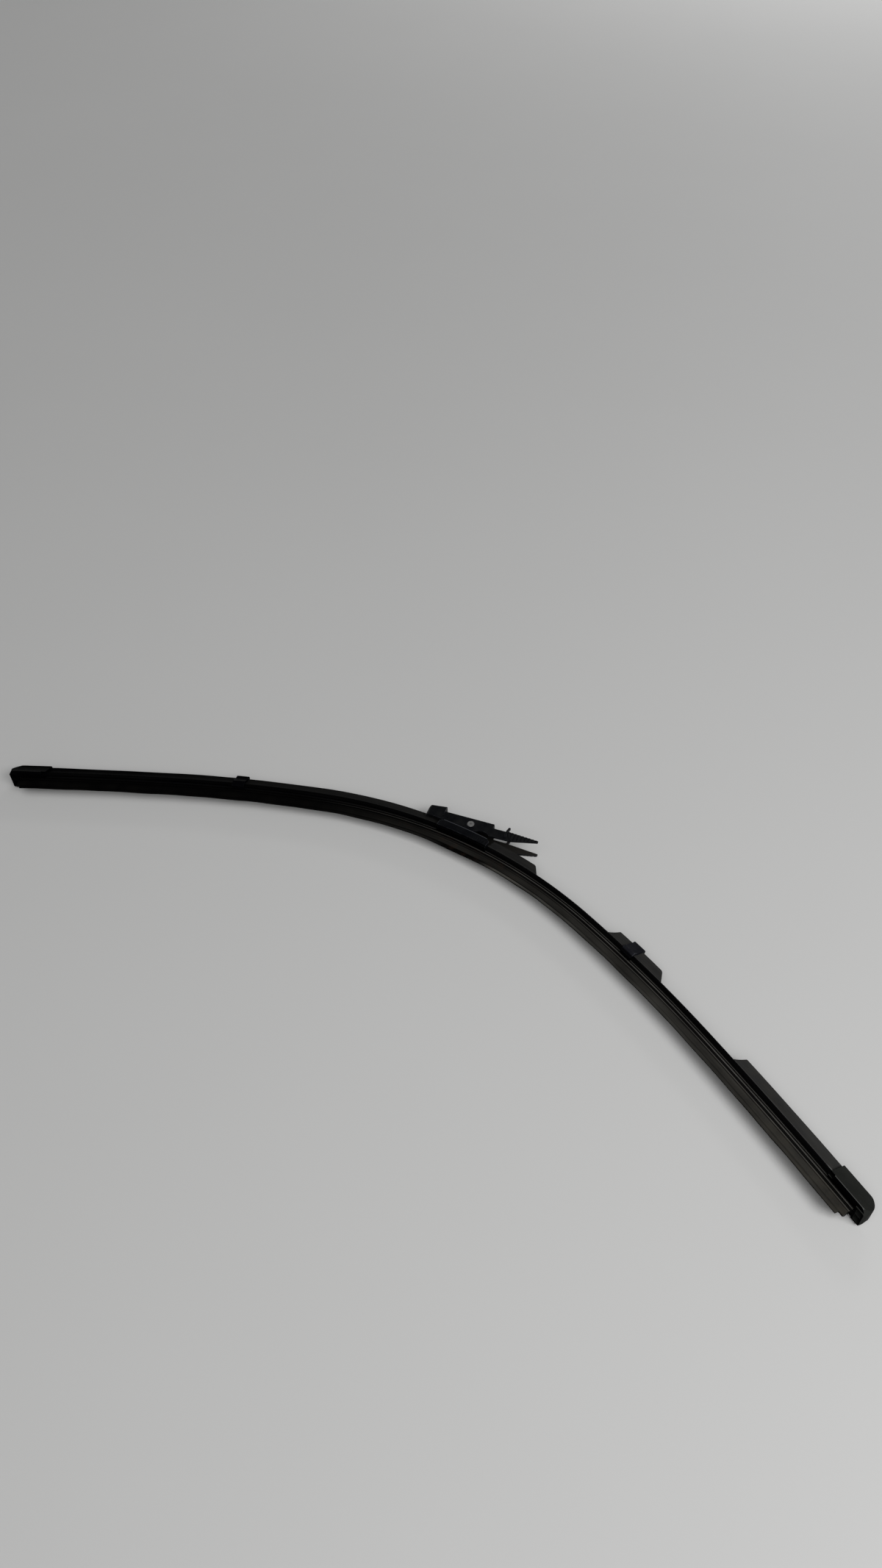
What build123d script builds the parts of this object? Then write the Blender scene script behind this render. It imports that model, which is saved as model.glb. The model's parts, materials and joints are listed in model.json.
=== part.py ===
from build123d import *
import os
from math import cos, degrees, radians, sin, tan

os.makedirs("parts", exist_ok=True)

# A flat wiper blade, off its arm and lying on its side.
# Its long curve lies in the XY plane, the ends bend towards -Y and the sideways axis of the blade is +Z.
# Across the blade a section is drawn with its sideways place first and its height second.
# Height is measured from the top of the spoiler's base strip, towards the crest.

# Free curve of the blade: three tangent arcs on each half
half_length = 350.0
centre_radius = 331.0
centre_reach = 110.0
flank_radius = 943.0
flank_reach = 220.0
end_radius = 2750.0

# Spring rails
rail_width = 3.5
rail_thickness = 0.9
rail_gap = 2.8
rail_end_margin = 7.0
rail_play = 0.05

# Spoiler extrusion
base_strip = 1.2
claw_wall = 0.65
claw_thickness = 0.4
claw_reach = 1.6
fin_height = 9.0
fin_lean = 0.8
crest_radius = 0.75
flank_hollow = 0.45
spoiler_end_margin = 14.0

# Notches in the fin of the half that lies under the wiper arm, as places along the blade
stub_end = 62.0
mid_start = 127.0
mid_end = 176.0
outer_start = 240.5
start_slope = 3.4
start_corner = 1.5
end_slope = 7.6
end_corner = 3.6

# Rubber element
rubber_end_margin = 7.5
head_half = 2.4
head_height = 0.75
rail_slot_play = 0.05
web_play = 0.1
ledge_half = 2.4
ledge_thickness = 0.45
groove_height = 0.6
groove_half = 1.0
rib_half = 1.6
rib_thickness = 0.7
neck_half = 0.8
neck_height = 1.9
ear_half = 2.2
ear_thickness = 0.9
tilt_web_half = 0.35
tilt_web_height = 0.85
wedge_half = 2.3
wedge_rim = 0.65
wedge_height = 3.6
lip_root_half = 0.6
lip_height = 3.1
lip_tip_half = 0.38
lip_lean = 21.0
lip_end_trim = 3.0

# End caps
cap_length = 28.0
cap_half_width = 8.4
cap_crest = 10.3
cap_crest_radius = 1.9
cap_edge = -2.1
cap_edge_chamfer = 1.5
cap_bottom = -3.3
cap_hollow = 0.3
cap_play = 0.3
cap_nose_radius = 10.0
cap_plan_corner = 5.0
cap_foot_bottom = -3.9
cap_foot_draft = 0.9
cap_end_wall = 1.8
cap_rib = 1.2
cap_pocket_top = 1.5
cap_notch_depth = 3.2
rubber_slot_half = 2.9

# Rail clips
clip_length = 9.0
clip_left_at = -174.5
clip_right_at = 146.5
clip_wall = 1.7
clip_play = 0.15
clip_foot = 0.8
clip_edge = 0.8
clip_undercut = 0.9

# Connector base, centred on the pivot
connector_at = 0.0
base_length = 40.0
base_half_width = 8.4
base_rim = 3.6
base_rim_wall = 1.0
base_floor = 1.0
base_bottom = -3.4
base_rail_play = 0.15
base_end_bevel = 4.5
base_foot_round = 1.0
tower_half_length = 3.5
tower_half_width = 4.9
tower_foot = 3.0
base_rib_count = 4
base_rib_pitch = 2.1
base_rib_depth = 0.5
base_rib_margin = 1.6
base_rib_inset = 0.4

# Pivot pin
pivot_height = 10.3
journal_radius = 2.75
shank_radius = 2.0
journal_play = 0.05
shank_play = 0.02
pin_chamfer = 0.35

# Arm adaptor, measured from the pivot along its own length
adaptor_tilt = 10.9
plate_inner = 5.3
plate_outer = 6.9
body_front = -21.0
body_back = 16.2
body_top = 4.9
top_plate = 1.2
plate_bottom = -6.2
plate_front_bottom = -3.0
plate_front_run = 9.0
arch_front = 4.0
arch_back = 15.4
arch_rise = 2.3
hood_length = 13.2
hood_half_width = 8.2
hood_top = 8.2
hood_slope = 8.0
hood_bottom = -3.4
hood_nose_bottom = -1.5
hood_wall = 1.5
hood_nose_radius = 4.5
hood_plan_radius = 5.0
hood_edge_radius = 2.4
fin_slot_half = 4.9
fin_slot_top_half = 1.8
fin_slot_top = 5.9
tab_tip = 50.0
tab_top = 1.2
tab_tip_top = -0.2
tab_tip_bottom = -1.7
tab_spread = 1.2
tab_neck_end = 26.0
tab_bottom_straight = 31.0
grip_rise = 0.55
grip_tip_thickness = 0.9
grip_teeth = 9
tooth_depth = 0.4
grip_slant = 3.6
flange_thickness = 1.3
flange_rise = 3.5
flange_lean = 0.9

# Levels and half widths that follow from the sizes above
lying_height = max(cap_half_width, base_half_width)
rail_outer = rail_gap / 2 + rail_width
beam_half = rail_outer + rail_play + claw_wall
rail_top = -base_strip - rail_play
rail_bottom = rail_top - rail_thickness
beam_bottom = rail_bottom - rail_play - claw_thickness
rubber_end = half_length - rubber_end_margin
rail_end = half_length - rail_end_margin
spoiler_end = half_length - spoiler_end_margin
cap_start = half_length - cap_length
base_front = connector_at - base_length / 2
base_back = connector_at + base_length / 2
adaptor_under = 3 * plate_bottom


# The long curve: arc centres and a place on it
turn_one = centre_reach / centre_radius
turn_two = turn_one + (flank_reach - centre_reach) / flank_radius
centre_one = Vector(0, -centre_radius)
centre_two = centre_one + (centre_radius - flank_radius) * Vector(sin(turn_one), cos(turn_one))
centre_three = centre_two + (flank_radius - end_radius) * Vector(sin(turn_two), cos(turn_two))


def arc_at(place):
    """Radius, centre, start place and start angle of the arc that holds this place along the blade."""
    reach = abs(place)
    if reach <= centre_reach:
        return centre_radius, centre_one, 0.0, 0.0
    if reach <= flank_reach:
        return flank_radius, centre_two, centre_reach, turn_one
    return end_radius, centre_three, flank_reach, turn_two


def station(place):
    """Point of the curve at a place along the blade, and how far its direction has turned towards -Y."""
    radius, centre, start, start_turn = arc_at(place)
    side = 1 if place >= 0 else -1
    turn = start_turn + (abs(place) - start) / radius
    point = centre + radius * Vector(sin(turn), cos(turn))
    return Vector(side * point.X, point.Y), side * turn


def section_plane(place):
    """Plane across the blade, with the sideways direction as its X and the crest direction as its Y."""
    point, turn = station(place)
    return Plane((point.X, point.Y, lying_height), x_dir=(0, 0, 1), z_dir=(-cos(turn), sin(turn), 0))


def frame_at(place):
    """Frame on the curve, with X along the blade, Y towards the crest and Z sideways."""
    point, turn = station(place)
    return Location((point.X, point.Y, lying_height), (0, 0, -degrees(turn)))


def run_along(profile, start, end):
    """Solid of one section carried along the curve, one turned piece for each arc."""
    breaks = [-flank_reach, -centre_reach, centre_reach, flank_reach]
    places = [start] + [place for place in breaks if start < place < end] + [end]
    solid = None
    for first, last in zip(places, places[1:]):
        radius, centre, _, _ = arc_at((first + last) / 2)
        side = 1 if first + last >= 0 else -1
        axis = Axis((side * centre.X, centre.Y, 0), (0, 0, -1))
        piece = revolve(section_plane(first) * profile, axis, degrees((last - first) / radius))
        solid = piece if solid is None else solid + piece
    return solid


def side_cut(outline, place, half_width):
    """Prism across the whole blade, from an outline drawn in the frame at a place."""
    return frame_at(place) * extrude(make_face(outline), half_width, both=True)


def block(x_span, y_span, z_span):
    """Plain block between three pairs of limits."""
    size = [high - low for low, high in (x_span, y_span, z_span)]
    middle = [(high + low) / 2 for low, high in (x_span, y_span, z_span)]
    return Pos(*middle) * Box(*size)


def beam_outline(grow, bottom, edge=0.0, undercut=0.0):
    """Outline round fin and base, grown by a play or a wall. Below the edge height its sides may draw in."""
    side = beam_half + grow
    centre_height = fin_height - crest_radius
    crest_half = crest_radius + grow
    right_foot = (side, edge)
    left_foot = (-side, edge)
    bottom_half = side - undercut
    right_crest = (fin_lean + crest_half, centre_height)
    left_crest = (fin_lean - crest_half, centre_height)
    return [
        Line((-bottom_half, bottom), (bottom_half, bottom)),
        Line((bottom_half, bottom), right_foot),
        SagittaArc(right_foot, right_crest, flank_hollow),
        ThreePointArc(right_crest, (fin_lean, centre_height + crest_half), left_crest),
        SagittaArc(left_crest, left_foot, flank_hollow),
        Line(left_foot, (-bottom_half, bottom)),
    ]


# Spring rails: two flat steel strips that lie in the grooves of the rubber's head
def rail(side):
    middle = side * (rail_gap / 2 + rail_width / 2)
    profile = Pos(middle, (rail_top + rail_bottom) / 2) * Rectangle(rail_width, rail_thickness)
    return run_along(profile, -rail_end, rail_end)


# Rubber element: head, rail grooves, ledge, rib, neck, ears, tilting web, wedge and lip.
# The lip is trimmed back a little at both ends.
def rubber():
    ledge_top = rail_bottom - rail_slot_play
    ledge_bottom = ledge_top - ledge_thickness
    rib_top = ledge_bottom - groove_height
    rib_bottom = rib_top - rib_thickness
    ear_top = rib_bottom - neck_height
    ear_bottom = ear_top - ear_thickness
    wedge_top = ear_bottom - tilt_web_height
    head_bottom = rail_top + rail_slot_play
    slot_half = rail_gap / 2 - web_play
    upper = [
        (head_half, head_bottom + head_height),
        (head_half, head_bottom),
        (slot_half, head_bottom),
        (slot_half, ledge_top),
        (ledge_half, ledge_top),
        (ledge_half, ledge_bottom),
        (groove_half, ledge_bottom),
        (groove_half, rib_top),
        (rib_half, rib_top),
        (rib_half, rib_bottom),
        (neck_half, rib_bottom),
        (neck_half, ear_top),
        (ear_half, ear_top),
        (ear_half, ear_bottom),
        (tilt_web_half, ear_bottom),
    ]
    wedge = [
        (tilt_web_half, wedge_top),
        (wedge_half, wedge_top),
        (wedge_half, wedge_top - wedge_rim),
        (lip_root_half, wedge_top - wedge_height),
        (lip_tip_half, wedge_top - wedge_height - lip_height),
    ]
    pivot = (ear_bottom + wedge_top) / 2

    def leaned(point):
        across, height = point
        drop = height - pivot
        turn = radians(lip_lean)
        return (across * cos(turn) - drop * sin(turn), pivot + across * sin(turn) + drop * cos(turn))

    left_wedge = [leaned((-across, height)) for across, height in reversed(wedge)]
    left_upper = [(-across, height) for across, height in reversed(upper)]
    outline = upper + [leaned(point) for point in wedge] + left_wedge + left_upper
    profile = make_face(Polyline(*outline, close=True))
    solid = run_along(profile, -rubber_end, rubber_end)
    _, lip_root = leaned((0, wedge_top - wedge_height))
    trim_span = (-lip_end_trim, lip_end_trim)
    trim_rise = (lip_root - 2 * lip_height, lip_root)
    trim_width = (-4 * wedge_half, 4 * wedge_half)
    for place in (-rubber_end, rubber_end):
        solid -= frame_at(place) * block(trim_span, trim_rise, trim_width)
    return solid


# Spoiler: a soft fin on a hard base that grips the outer edges of the rails.
# A channel in its underside clears the rubber's head.
def spoiler_profile():
    head_top = rail_top + rail_slot_play + head_height
    room_half = rail_outer + rail_play
    room_low = rail_bottom - rail_play
    mouth_half = beam_half - claw_reach
    profile = make_face(beam_outline(0, beam_bottom))
    profile -= Pos(0, (room_low - base_strip) / 2) * Rectangle(2 * room_half, -base_strip - room_low)
    profile -= Pos(0, room_low) * Rectangle(2 * mouth_half, 4 * claw_thickness)
    channel_half = head_half + web_play
    channel_depth = head_top + web_play + base_strip
    profile -= Pos(0, -base_strip) * Rectangle(2 * channel_half, 2 * channel_depth)
    return profile


def spoiler_left():
    return run_along(spoiler_profile(), -spoiler_end, base_front)


def fin_end(place, slope, corner):
    """Waste beyond a sloped end of the fin, with the corner at the crest left round."""
    above = 2 * fin_height
    back = slope + (3 * corner if slope > 0 else -3 * corner)
    corners = [(0, 0), (-slope, fin_height), (-back, fin_height), (-back, above), (0, above)]
    waste = make_face(Polyline(*corners, close=True))
    waste = fillet(waste.vertices().sort_by_distance((-slope, fin_height, 0))[0], corner)
    return frame_at(place) * extrude(waste, 2 * beam_half, both=True)


def spoiler_right():
    solid = run_along(spoiler_profile(), base_back, spoiler_end)
    air = Pos(0, fin_height) * Rectangle(4 * beam_half, 2 * fin_height)
    for first, last in ((stub_end, mid_start), (mid_end, outer_start)):
        solid -= run_along(air, first, last)
        solid -= fin_end(first, end_slope, end_corner)
        solid -= fin_end(last, -start_slope, start_corner)
    return solid


# End cap: a hollow moulding that slides over the blade's end, with claws under the rails and an open slot
# for the rubber. Drawn for the +X end, from its mouth outwards.
def end_cap():
    across = Plane((0, 0, 0), x_dir=(0, 0, 1), z_dir=(-1, 0, 0))
    crest_height = cap_crest - cap_crest_radius
    right_crest = (fin_lean + cap_crest_radius, crest_height)
    left_crest = (fin_lean - cap_crest_radius, crest_height)
    foot_half = cap_half_width - cap_edge_chamfer
    skin = make_face([
        Line((-foot_half, cap_bottom), (foot_half, cap_bottom)),
        Line((foot_half, cap_bottom), (cap_half_width, cap_edge)),
        SagittaArc((cap_half_width, cap_edge), right_crest, cap_hollow),
        ThreePointArc(right_crest, (fin_lean, cap_crest), left_crest),
        SagittaArc(left_crest, (-cap_half_width, cap_edge), cap_hollow),
        Line((-cap_half_width, cap_edge), (-foot_half, cap_bottom)),
    ])
    nose_low = cap_crest - cap_nose_radius
    nose = make_face([
        Polyline(
            (cap_length - cap_nose_radius, cap_crest),
            (0, cap_crest),
            (0, cap_foot_bottom),
            (cap_length - cap_foot_draft, cap_foot_bottom),
            (cap_length, cap_edge),
            (cap_length, nose_low),
        ),
        RadiusArc((cap_length, nose_low), (cap_length - cap_nose_radius, cap_crest), -cap_nose_radius),
    ])
    plan = RectangleRounded(3 * cap_length, 2 * cap_half_width, cap_plan_corner)
    plan = Plane.XZ * (Pos(-cap_length / 2, 0) * plan)
    rail_room = rail_end - cap_start + cap_play
    solid = extrude(across * skin, -cap_length)
    solid += block((rail_room, cap_length), (cap_foot_bottom, cap_edge), (-foot_half, foot_half))
    solid &= extrude(nose, 2 * cap_half_width, both=True)
    solid &= extrude(plan, 2 * cap_crest, both=True)

    fin_room = spoiler_end - cap_start + cap_play
    ceiling = beam_bottom - cap_play / 2
    solid -= extrude(across * make_face(beam_outline(cap_play, ceiling)), -fin_room)
    room_half = beam_half + cap_play
    solid -= block((0, rail_room), (ceiling, cap_play), (-room_half, room_half))
    below = cap_foot_bottom - cap_rib
    solid -= block((0, rail_room), (below, 0), (-rubber_slot_half, rubber_slot_half))
    pocket_start = rail_room + cap_rib
    pocket_end = cap_length - cap_end_wall
    for side in (-1, 1):
        near, far = sorted((side * cap_rib / 2, side * (foot_half - cap_rib)))
        solid -= block((pocket_start, pocket_end), (below, cap_pocket_top), (near, far))
        low, high = sorted((side * beam_half, side * 2 * cap_half_width))
        solid -= block((-cap_rib, cap_notch_depth), (below, rail_top), (low, high))
    return solid


# Rail clip: a collar over the fin that grips under the rails on both sides
def rail_clip(middle):
    grip_top = beam_bottom - clip_play
    ring = make_face(beam_outline(clip_play + clip_wall, grip_top - clip_foot, clip_edge, clip_undercut))
    ring -= make_face(beam_outline(clip_play, grip_top))
    ring -= Pos(0, grip_top) * Rectangle(2 * rubber_slot_half, 4 * clip_foot)
    return run_along(ring, middle - clip_length / 2, middle + clip_length / 2)


# Connector base: an open trough that grips the rails, with a tower for the pivot pin
def connector_base():
    rail_room_top = -base_strip
    rail_room_bottom = rail_bottom - rail_play
    trough_half = base_half_width - base_rim_wall
    rail_room_half = rail_outer + base_rail_play
    head_room = rail_top + rail_slot_play + head_height + web_play
    shell = make_face(Polyline(
        (-base_half_width + base_foot_round, base_bottom),
        (base_half_width - base_foot_round, base_bottom),
        (base_half_width, base_bottom + base_foot_round),
        (base_half_width, base_rim),
        (trough_half, base_rim),
        (trough_half, base_floor),
        (-trough_half, base_floor),
        (-trough_half, base_rim),
        (-base_half_width, base_rim),
        (-base_half_width, base_bottom + base_foot_round),
        close=True,
    ))
    shell -= Pos(0, (rail_room_top + rail_room_bottom) / 2) * Rectangle(
        2 * rail_room_half, rail_room_top - rail_room_bottom)
    shell -= Pos(0, (rail_room_top + head_room) / 2) * Rectangle(
        2 * (head_half + web_play), head_room - rail_room_top)
    shell -= Pos(0, base_bottom) * Rectangle(2 * rubber_slot_half, 2 * (rail_room_bottom - base_bottom))
    solid = run_along(shell, base_front, base_back)

    bevel_top = base_rim + base_rim_wall
    for place, side in ((base_front, 1), (base_back, -1)):
        outside = -side * base_rim_wall
        inside = side * base_end_bevel
        bevel = Polyline((outside, base_floor), (inside, bevel_top), (outside, bevel_top), close=True)
        solid -= side_cut(bevel, place, 2 * base_half_width)

    tower = make_face(Polyline(
        (-tower_half_length, pivot_height),
        (-tower_half_length, base_floor + tower_foot),
        (-tower_half_length - tower_foot, 0),
        (tower_half_length + tower_foot, 0),
        (tower_half_length, base_floor + tower_foot),
        (tower_half_length, pivot_height),
        close=True,
    ))
    tower += Pos(0, pivot_height) * Circle(tower_half_length)
    tower -= Pos(0, pivot_height) * Circle(shank_radius + shank_play)
    solid += frame_at(connector_at) * extrude(tower, tower_half_width, both=True)

    groove_span = (-base_rib_pitch / 4, base_rib_pitch / 4)
    groove_rise = (base_bottom + base_foot_round + base_rib_inset, base_floor - base_rib_inset)
    for index in range(base_rib_count):
        place = base_back - base_rib_margin - base_rib_pitch * index
        for side in (-1, 1):
            near, far = sorted((side * (base_half_width - base_rib_depth), side * 2 * base_half_width))
            solid -= frame_at(place) * block(groove_span, groove_rise, (near, far))
    return solid


# Pivot pin: a steel rivet with a shank in the tower and a wider journal at each end for the adaptor
def pivot_pin():
    shoulder = tower_half_width + journal_play
    half = make_face(Polyline(
        (0, 0),
        (shank_radius, 0),
        (shank_radius, shoulder),
        (journal_radius, shoulder),
        (journal_radius, plate_outer - pin_chamfer),
        (journal_radius - pin_chamfer, plate_outer),
        (0, plate_outer),
        close=True,
    ))
    upper = revolve(Plane.XZ * half, Axis.Z)
    return upper + mirror(upper, about=Plane.XY)


# Arm adaptor: one hollow moulding with a hood in front, two side plates on the pivot
# and two sprung tabs behind. Drawn about the pivot with its length along X.
def adaptor_plate():
    outline = make_face([
        Polyline(
            (arch_front, plate_bottom),
            (body_front + plate_front_run, plate_bottom),
            (body_front, plate_front_bottom),
            (body_front, body_top),
            (body_back, body_top),
            (body_back, tab_top),
            (tab_neck_end, tab_top),
            (tab_tip, tab_tip_top),
            (tab_tip, tab_tip_bottom),
            (tab_bottom_straight, plate_bottom),
            (arch_back, plate_bottom),
        ),
        ThreePointArc((arch_back, plate_bottom), ((arch_front + arch_back) / 2, plate_bottom + arch_rise),
                      (arch_front, plate_bottom)),
    ])
    tip_inner = plate_inner + tab_spread
    grip_start = tab_neck_end + flange_thickness
    grip_outer = plate_outer + grip_rise
    tip_outer = tip_inner + grip_tip_thickness
    pitch = (tab_tip - grip_start) / grip_teeth
    teeth = []
    for index in range(grip_teeth):
        along = grip_start + index * pitch
        height = grip_outer + (tip_outer - grip_outer) * index / grip_teeth
        teeth += [(along, height), (along + pitch / 2, height + tooth_depth)]
    plan = make_face(Polyline(
        (body_front, plate_inner),
        (body_back, plate_inner),
        (tab_tip, tip_inner),
        (tab_tip, tip_outer),
        *reversed(teeth),
        (grip_start, plate_outer),
        (body_front, plate_outer),
        close=True,
    ))
    plate = extrude(outline, 2 * plate_outer, both=True) & extrude(Plane.XZ * plan, 4 * body_top, both=True)
    slant = make_face(Polyline(
        (grip_start, tab_top + flange_rise),
        (grip_start, tab_top),
        (grip_start + grip_slant, plate_bottom),
        (tab_neck_end, plate_bottom - flange_thickness),
        (tab_neck_end, tab_top + flange_rise),
        close=True,
    ))
    plate -= Pos(0, 0, plate_outer) * extrude(slant, 2 * tooth_depth + 2 * grip_rise)
    flange = make_face(Polyline(
        (tab_neck_end, plate_bottom / 2),
        (tab_neck_end, tab_top),
        (tab_neck_end + flange_lean, tab_top + flange_rise),
        (tab_neck_end + flange_lean + flange_thickness, tab_top + flange_rise),
        (tab_neck_end + flange_thickness, tab_top),
        (tab_neck_end + flange_thickness, plate_bottom / 2),
        close=True,
    ))
    flange_end = tab_neck_end + flange_lean + flange_thickness
    flange_inner = plate_inner + tab_spread * (flange_end - body_back) / (tab_tip - body_back)
    plate += Pos(0, 0, flange_inner) * extrude(flange, grip_outer + tooth_depth - flange_inner)
    return plate


def hood_form(shrink):
    """Hood as the common part of its side view, its plan and its cross-section, all drawn in by a wall."""
    front = body_front - hood_length + shrink
    back = body_front - shrink
    top = hood_top - shrink
    half = hood_half_width - shrink
    low = adaptor_under if shrink else hood_bottom
    low_front = adaptor_under if shrink else hood_nose_bottom
    nose = hood_nose_radius - shrink
    crown = front + nose
    back_top = top + (back - crown) * tan(radians(hood_slope))
    side = make_face([
        Polyline((crown, top), (back, back_top), (back, low), (front, low_front), (front, top - nose)),
        RadiusArc((front, top - nose), (crown, top), nose),
    ])
    plan = RectangleRounded(3 * hood_length, 2 * half, hood_plan_radius - shrink)
    plan = Plane.XZ * (Pos(front + 1.5 * hood_length, 0) * plan)
    depth = top - adaptor_under
    section = RectangleRounded(2 * half, 2 * depth, max(hood_edge_radius - shrink, hood_wall / 4))
    section = Plane((0, 0, 0), x_dir=(0, 0, 1), z_dir=(-1, 0, 0)) * (Pos(0, adaptor_under) * section)
    form = extrude(side, 2 * half, both=True) & extrude(plan, depth, both=True)
    lengthwise = extrude(section, 2 * (hood_length - body_front), both=True)
    return form & Pos(crown, top) * Rot(0, 0, hood_slope) * Pos(-crown, -top) * lengthwise


def arm_adaptor():
    right = adaptor_plate()
    solid = right + mirror(right, about=Plane.XY)
    solid += block((body_front, body_back), (body_top - top_plate, body_top), (-plate_outer, plate_outer))
    solid += hood_form(0)
    solid -= hood_form(hood_wall)
    hood_back = (body_front - 2 * hood_wall, body_front + hood_wall)
    solid -= block(hood_back, (adaptor_under, body_top - top_plate), (-plate_inner, plate_inner))
    slot = make_face(Polyline(
        (-fin_slot_half, adaptor_under),
        (fin_slot_half, adaptor_under),
        (fin_slot_half, hood_nose_bottom),
        (fin_lean + fin_slot_top_half, fin_slot_top),
        (fin_lean - fin_slot_top_half, fin_slot_top),
        (-fin_slot_half, hood_nose_bottom),
        close=True,
    ))
    across = Plane((body_front - hood_length / 2, 0, 0), x_dir=(0, 0, 1), z_dir=(-1, 0, 0))
    solid -= extrude(across * slot, hood_length)
    solid -= Cylinder(journal_radius + journal_play, 4 * plate_outer)
    return solid


def at_pivot(tilt):
    return frame_at(connector_at) * Pos(0, pivot_height, 0) * Rot(0, 0, tilt)


cap = end_cap()
right_cap = frame_at(cap_start) * cap
pieces = {
    "wiper_rubber": rubber(),
    "spring_rail_upper": rail(1),
    "spring_rail_lower": rail(-1),
    "spoiler_left": spoiler_left(),
    "spoiler_right": spoiler_right(),
    "end_cap_left": mirror(right_cap, about=Plane.YZ),
    "end_cap_right": right_cap,
    "rail_clip_left": rail_clip(clip_left_at),
    "rail_clip_right": rail_clip(clip_right_at),
    "connector_base": connector_base(),
    "pivot_pin": at_pivot(0) * pivot_pin(),
    "arm_adaptor": at_pivot(adaptor_tilt) * arm_adaptor(),
}

# The whole blade is centred on its box, with its lowest points on the ground
box = Compound(children=[Compound(piece.wrapped) for piece in pieces.values()]).bounding_box()
place = Pos(-(box.min.X + box.max.X) / 2, -(box.min.Y + box.max.Y) / 2, -box.min.Z)
for name, piece in pieces.items():
    export_step(place * piece, f"parts/{name}.step")
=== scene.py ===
import json
from math import cos, exp, pi, radians, sin

import bmesh
import bpy
from mathutils import Matrix, Vector


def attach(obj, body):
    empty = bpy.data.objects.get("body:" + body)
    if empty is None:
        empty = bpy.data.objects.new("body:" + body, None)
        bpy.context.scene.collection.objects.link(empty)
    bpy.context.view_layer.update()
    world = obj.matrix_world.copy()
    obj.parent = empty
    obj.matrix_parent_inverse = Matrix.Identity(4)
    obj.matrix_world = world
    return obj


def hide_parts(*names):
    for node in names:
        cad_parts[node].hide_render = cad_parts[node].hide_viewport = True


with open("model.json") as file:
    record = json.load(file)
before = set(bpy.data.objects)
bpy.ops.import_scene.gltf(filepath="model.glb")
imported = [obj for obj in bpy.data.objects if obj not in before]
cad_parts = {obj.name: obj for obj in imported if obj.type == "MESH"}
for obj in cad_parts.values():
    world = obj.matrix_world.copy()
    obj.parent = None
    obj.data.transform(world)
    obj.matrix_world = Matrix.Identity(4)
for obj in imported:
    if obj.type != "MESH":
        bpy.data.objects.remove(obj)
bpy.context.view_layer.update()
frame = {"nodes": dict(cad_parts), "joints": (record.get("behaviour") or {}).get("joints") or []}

# Spring rails
# Two flat strips of spring steel, rolled to the blade's curve and painted black before assembly.
# They are pushed into the grooves of the rubber's head from one end and stay there by their own bow.
rail_paint = (0.0030, 0.0030, 0.0034, 1.0)
rail_bare_steel = (0.30, 0.29, 0.28, 1.0)
rail_edge = 0.00025
rail_roughness = (0.32, 0.50)
rail_relief = 0.00002
pivot = Vector(frame["joints"][0]["pos_m"])


def add(tree, kind, inputs=None, **settings):
    """One node of a tree, with its settings, and with values or links on its inputs."""
    made = tree.nodes.new(kind)
    for name, value in settings.items():
        setattr(made, name, value)
    for name, value in (inputs or {}).items():
        socket = made.inputs[name]
        if isinstance(value, bpy.types.NodeSocket):
            tree.links.new(value, socket)
        else:
            socket.default_value = value
    return made


def reckon(tree, operation, first, second=0.0):
    """Output of a math node."""
    return add(tree, "ShaderNodeMath", {0: first, 1: second}, operation=operation).outputs[0]


def times(tree, first, *others):
    """Product of two or more values."""
    for other in others:
        first = reckon(tree, "MULTIPLY", first, other)
    return first


def apart(tree, value, centre):
    """How far a value lies from a centre, on either side."""
    return reckon(tree, "ABSOLUTE", reckon(tree, "SUBTRACT", value, centre))


def ramp(tree, value, low, high, start=0.0, end=1.0):
    """A value carried from one pair of limits to another, and held at the ends."""
    made = add(tree, "ShaderNodeMapRange", {
        "Value": value, "From Min": low, "From Max": high, "To Min": start, "To Max": end})
    return made.outputs["Result"]


def between(tree, share, limits):
    """A share from 0 to 1 carried to a pair of limits."""
    return ramp(tree, share, 0.0, 1.0, *limits)


def arrow(tree, operation, first, second=(0, 0, 0)):
    """Output of a vector math node: a number for a dot product or a length, otherwise a vector."""
    made = add(tree, "ShaderNodeVectorMath", {0: first, 1: second}, operation=operation)
    return made.outputs["Value" if operation in ("DOT_PRODUCT", "LENGTH") else "Vector"]


def split(tree, vector):
    """The X, Y and Z of a vector."""
    return add(tree, "ShaderNodeSeparateXYZ", {0: vector}).outputs


def place_on(tree):
    """Place on the piece, in the frame of the whole blade."""
    return add(tree, "ShaderNodeTexCoord").outputs["Object"]


def facing_on(tree):
    """Direction in which the surface faces."""
    return add(tree, "ShaderNodeNewGeometry").outputs["Normal"]


def tint(tree, share, first, second):
    """Colour between two colours."""
    return add(tree, "ShaderNodeMix", {0: share, 6: first, 7: second}, data_type="RGBA").outputs[2]


def speckle(tree, vector, scale, detail=3.0):
    """Noise between 0 and 1."""
    made = add(tree, "ShaderNodeTexNoise", {
        "Vector": vector, "Scale": scale, "Detail": detail, "Roughness": 0.55})
    return made.outputs[0]


def effect(name, inputs, outputs):
    """Empty group of shader nodes with number inputs and number outputs."""
    tree = bpy.data.node_groups.new(name, "ShaderNodeTree")
    for label, value in inputs.items():
        socket = tree.interface.new_socket(label, in_out="INPUT", socket_type="NodeSocketFloat")
        socket.default_value = value
    for label in outputs:
        tree.interface.new_socket(label, in_out="OUTPUT", socket_type="NodeSocketFloat")
    return tree, tree.nodes.new("NodeGroupInput").outputs, tree.nodes.new("NodeGroupOutput").inputs


def use(tree, group, **values):
    """Outputs of a placed group, with its own values."""
    made = tree.nodes.new("ShaderNodeGroup")
    made.node_tree = group
    for label, value in values.items():
        made.inputs[label].default_value = value
    return made.outputs


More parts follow.
